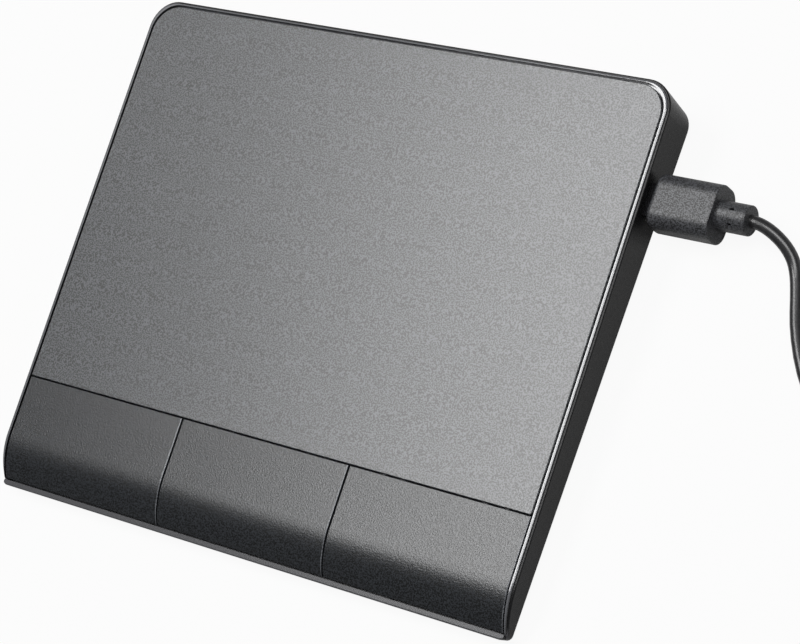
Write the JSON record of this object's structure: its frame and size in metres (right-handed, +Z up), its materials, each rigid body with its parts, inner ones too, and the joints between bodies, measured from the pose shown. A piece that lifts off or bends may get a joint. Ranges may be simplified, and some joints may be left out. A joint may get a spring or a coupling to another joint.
{
  "type": "trackpad",
  "caption": "Wired desk trackpad: wedge housing with a textured touch surface, tipping buttons that roll over the front edge, and a USB cord put away in a coil.",
  "frame": {"origin": "on the table, under the middle of the housing", "axes": "+X to the right, +Y to the rear (away from the user), +Z up"},
  "size_m": [0.2378, 0.1082, 0.0133],
  "materials": {
    "case_black": "satin, fine grain",
    "bezel_black": "satin",
    "touch_black": "fine texture, satin",
    "button_black": "fine texture, satin",
    "foot_rubber": "matte",
    "screw_steel": "zinc plated",
    "adhesive_white": "matte film",
    "board_green": "solder mask",
    "chip_black": "matte moulding",
    "crystal_can": "plain can",
    "capacitor_tan": "ceramic",
    "socket_white": "matte moulding",
    "flex_film": "film",
    "switch_black": "matte moulding",
    "plunger_grey": "matte moulding",
    "connector_steel": "nickel plated",
    "connector_black": "matte moulding",
    "connector_white": "matte moulding",
    "contact_gold": "gold plated",
    "plug_black": "fine texture, satin",
    "cord_black": "smooth jacket",
    "tie_black": "smooth"
  },
  "bodies": {
    "housing": {"base_case": "case_black", "bezel_frame": "bezel_black", "touch_surface": "touch_black", "adhesive_sheet": "adhesive_white", "sensor_board": "board_green", "touch_chip": "chip_black", "sensor_socket": "socket_white", "switch_board": "board_green", "left_switch_body": "switch_black", "middle_switch_body": "switch_black", "right_switch_body": "switch_black", "rear_left_foot": "foot_rubber", "rear_right_foot": "foot_rubber", "front_left_foot": "foot_rubber", "front_right_foot": "foot_rubber", "housing_screws": "screw_steel", "main_board": "board_green", "board_screws": "screw_steel", "controller_chip": "chip_black", "crystal": "crystal_can", "board_capacitors": "capacitor_tan", "sensor_flex_socket": "socket_white", "switch_flex_socket": "socket_white", "switch_board_socket": "socket_white", "sensor_flex_cable": "flex_film", "switch_flex_cable": "flex_film", "port_shell": "connector_steel", "port_tongue": "connector_black", "device_plug_shell": "connector_steel", "device_plug_core": "connector_black", "device_plug": "plug_black", "usb_cord": "cord_black", "cord_coil": "cord_black", "front_tie": "tie_black", "rear_tie": "tie_black", "cord_end": "cord_black", "far_plug": "plug_black", "far_plug_shell": "connector_steel", "far_plug_insulator": "connector_white", "far_plug_contacts": "contact_gold"},
    "left_button": {"left_button": "button_black"},
    "left_plunger": {"left_switch_plunger": "plunger_grey"},
    "middle_button": {"middle_button": "button_black"},
    "middle_plunger": {"middle_switch_plunger": "plunger_grey"},
    "right_button": {"right_button": "button_black"},
    "right_plunger": {"right_switch_plunger": "plunger_grey"}
  },
  "joints": [
    {"name": "left_button_press", "type": "hinge", "parent": "housing", "child": "left_button", "pos_m": [-0.04247, -0.03283, 0.00548], "axis": [1, 0, 0], "range_deg": [0, 1.37], "stiffness_Nm_per_rad": 0.68, "springref_deg": -0.29},
    {"name": "left_plunger_travel", "type": "slide", "parent": "housing", "child": "left_plunger", "axis": [0, 0, -1], "range_m": [0, 0.00025]},
    {"name": "middle_button_press", "type": "hinge", "parent": "housing", "child": "middle_button", "pos_m": [0, -0.03283, 0.00548], "axis": [1, 0, 0], "range_deg": [0, 1.37], "stiffness_Nm_per_rad": 0.68, "springref_deg": -0.29},
    {"name": "middle_plunger_travel", "type": "slide", "parent": "housing", "child": "middle_plunger", "axis": [0, 0, -1], "range_m": [0, 0.00025]},
    {"name": "right_button_press", "type": "hinge", "parent": "housing", "child": "right_button", "pos_m": [0.04247, -0.03283, 0.00548], "axis": [1, 0, 0], "range_deg": [0, 1.37], "stiffness_Nm_per_rad": 0.68, "springref_deg": -0.29},
    {"name": "right_plunger_travel", "type": "slide", "parent": "housing", "child": "right_plunger", "axis": [0, 0, -1], "range_m": [0, 0.00025]}
  ],
  "couplings": [
    {"joint": "left_plunger_travel", "follows": "left_button_press", "m_per_rad": 0.01043},
    {"joint": "middle_plunger_travel", "follows": "middle_button_press", "m_per_rad": 0.01043},
    {"joint": "right_plunger_travel", "follows": "right_button_press", "m_per_rad": 0.01043}
  ]
}
